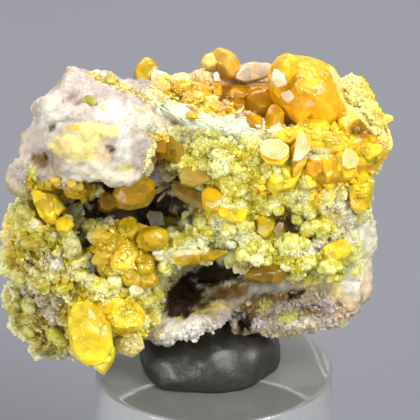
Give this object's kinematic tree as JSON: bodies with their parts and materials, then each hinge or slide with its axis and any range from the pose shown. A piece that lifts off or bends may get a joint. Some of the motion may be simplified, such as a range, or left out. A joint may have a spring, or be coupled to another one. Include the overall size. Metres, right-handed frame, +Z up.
{
  "type": "wulfenite specimen",
  "caption": "Orange wulfenite crystals and yellow-green mimetite crust on pale rock, fixed with putty on a short clear acrylic rod.",
  "frame": {"origin": "centre of the acrylic stand's flat base", "axes": "+Z up along the stand's axis; -Y is the specimen's front, +X on the right of someone who faces it"},
  "size_m": [0.0243, 0.015, 0.0328],
  "materials": {
    "rock": "rough broken rock, pale pinkish white to grey-brown",
    "mimetite": "sparkling botryoidal crust, yellow-green",
    "wulfenite": "resinous to adamantine, orange-yellow, translucent",
    "tack": "matte kneaded putty, dark grey",
    "acrylic": "clear polished acrylic"
  },
  "bodies": {
    "root": {"matrix": "rock", "mimetite_crust_right": "mimetite", "mimetite_crust_left": "mimetite", "hollow_crystals": "wulfenite", "wulfenite_top_cluster": "wulfenite", "wulfenite_hexagonal_tablet": "wulfenite", "wulfenite_blade": "wulfenite", "wulfenite_right_tablets": "wulfenite", "wulfenite_stub_left": "wulfenite", "wulfenite_stub_right": "wulfenite", "wulfenite_ghost_tablet": "wulfenite", "wulfenite_pillow": "wulfenite", "wulfenite_pendant": "wulfenite", "wulfenite_lemon": "wulfenite", "wulfenite_shelf_tablet": "wulfenite", "wulfenite_pocket": "wulfenite", "yellow_sheet": "wulfenite", "mineral_tack": "tack", "acrylic_stand": "acrylic"}
  },
  "joints": []
}
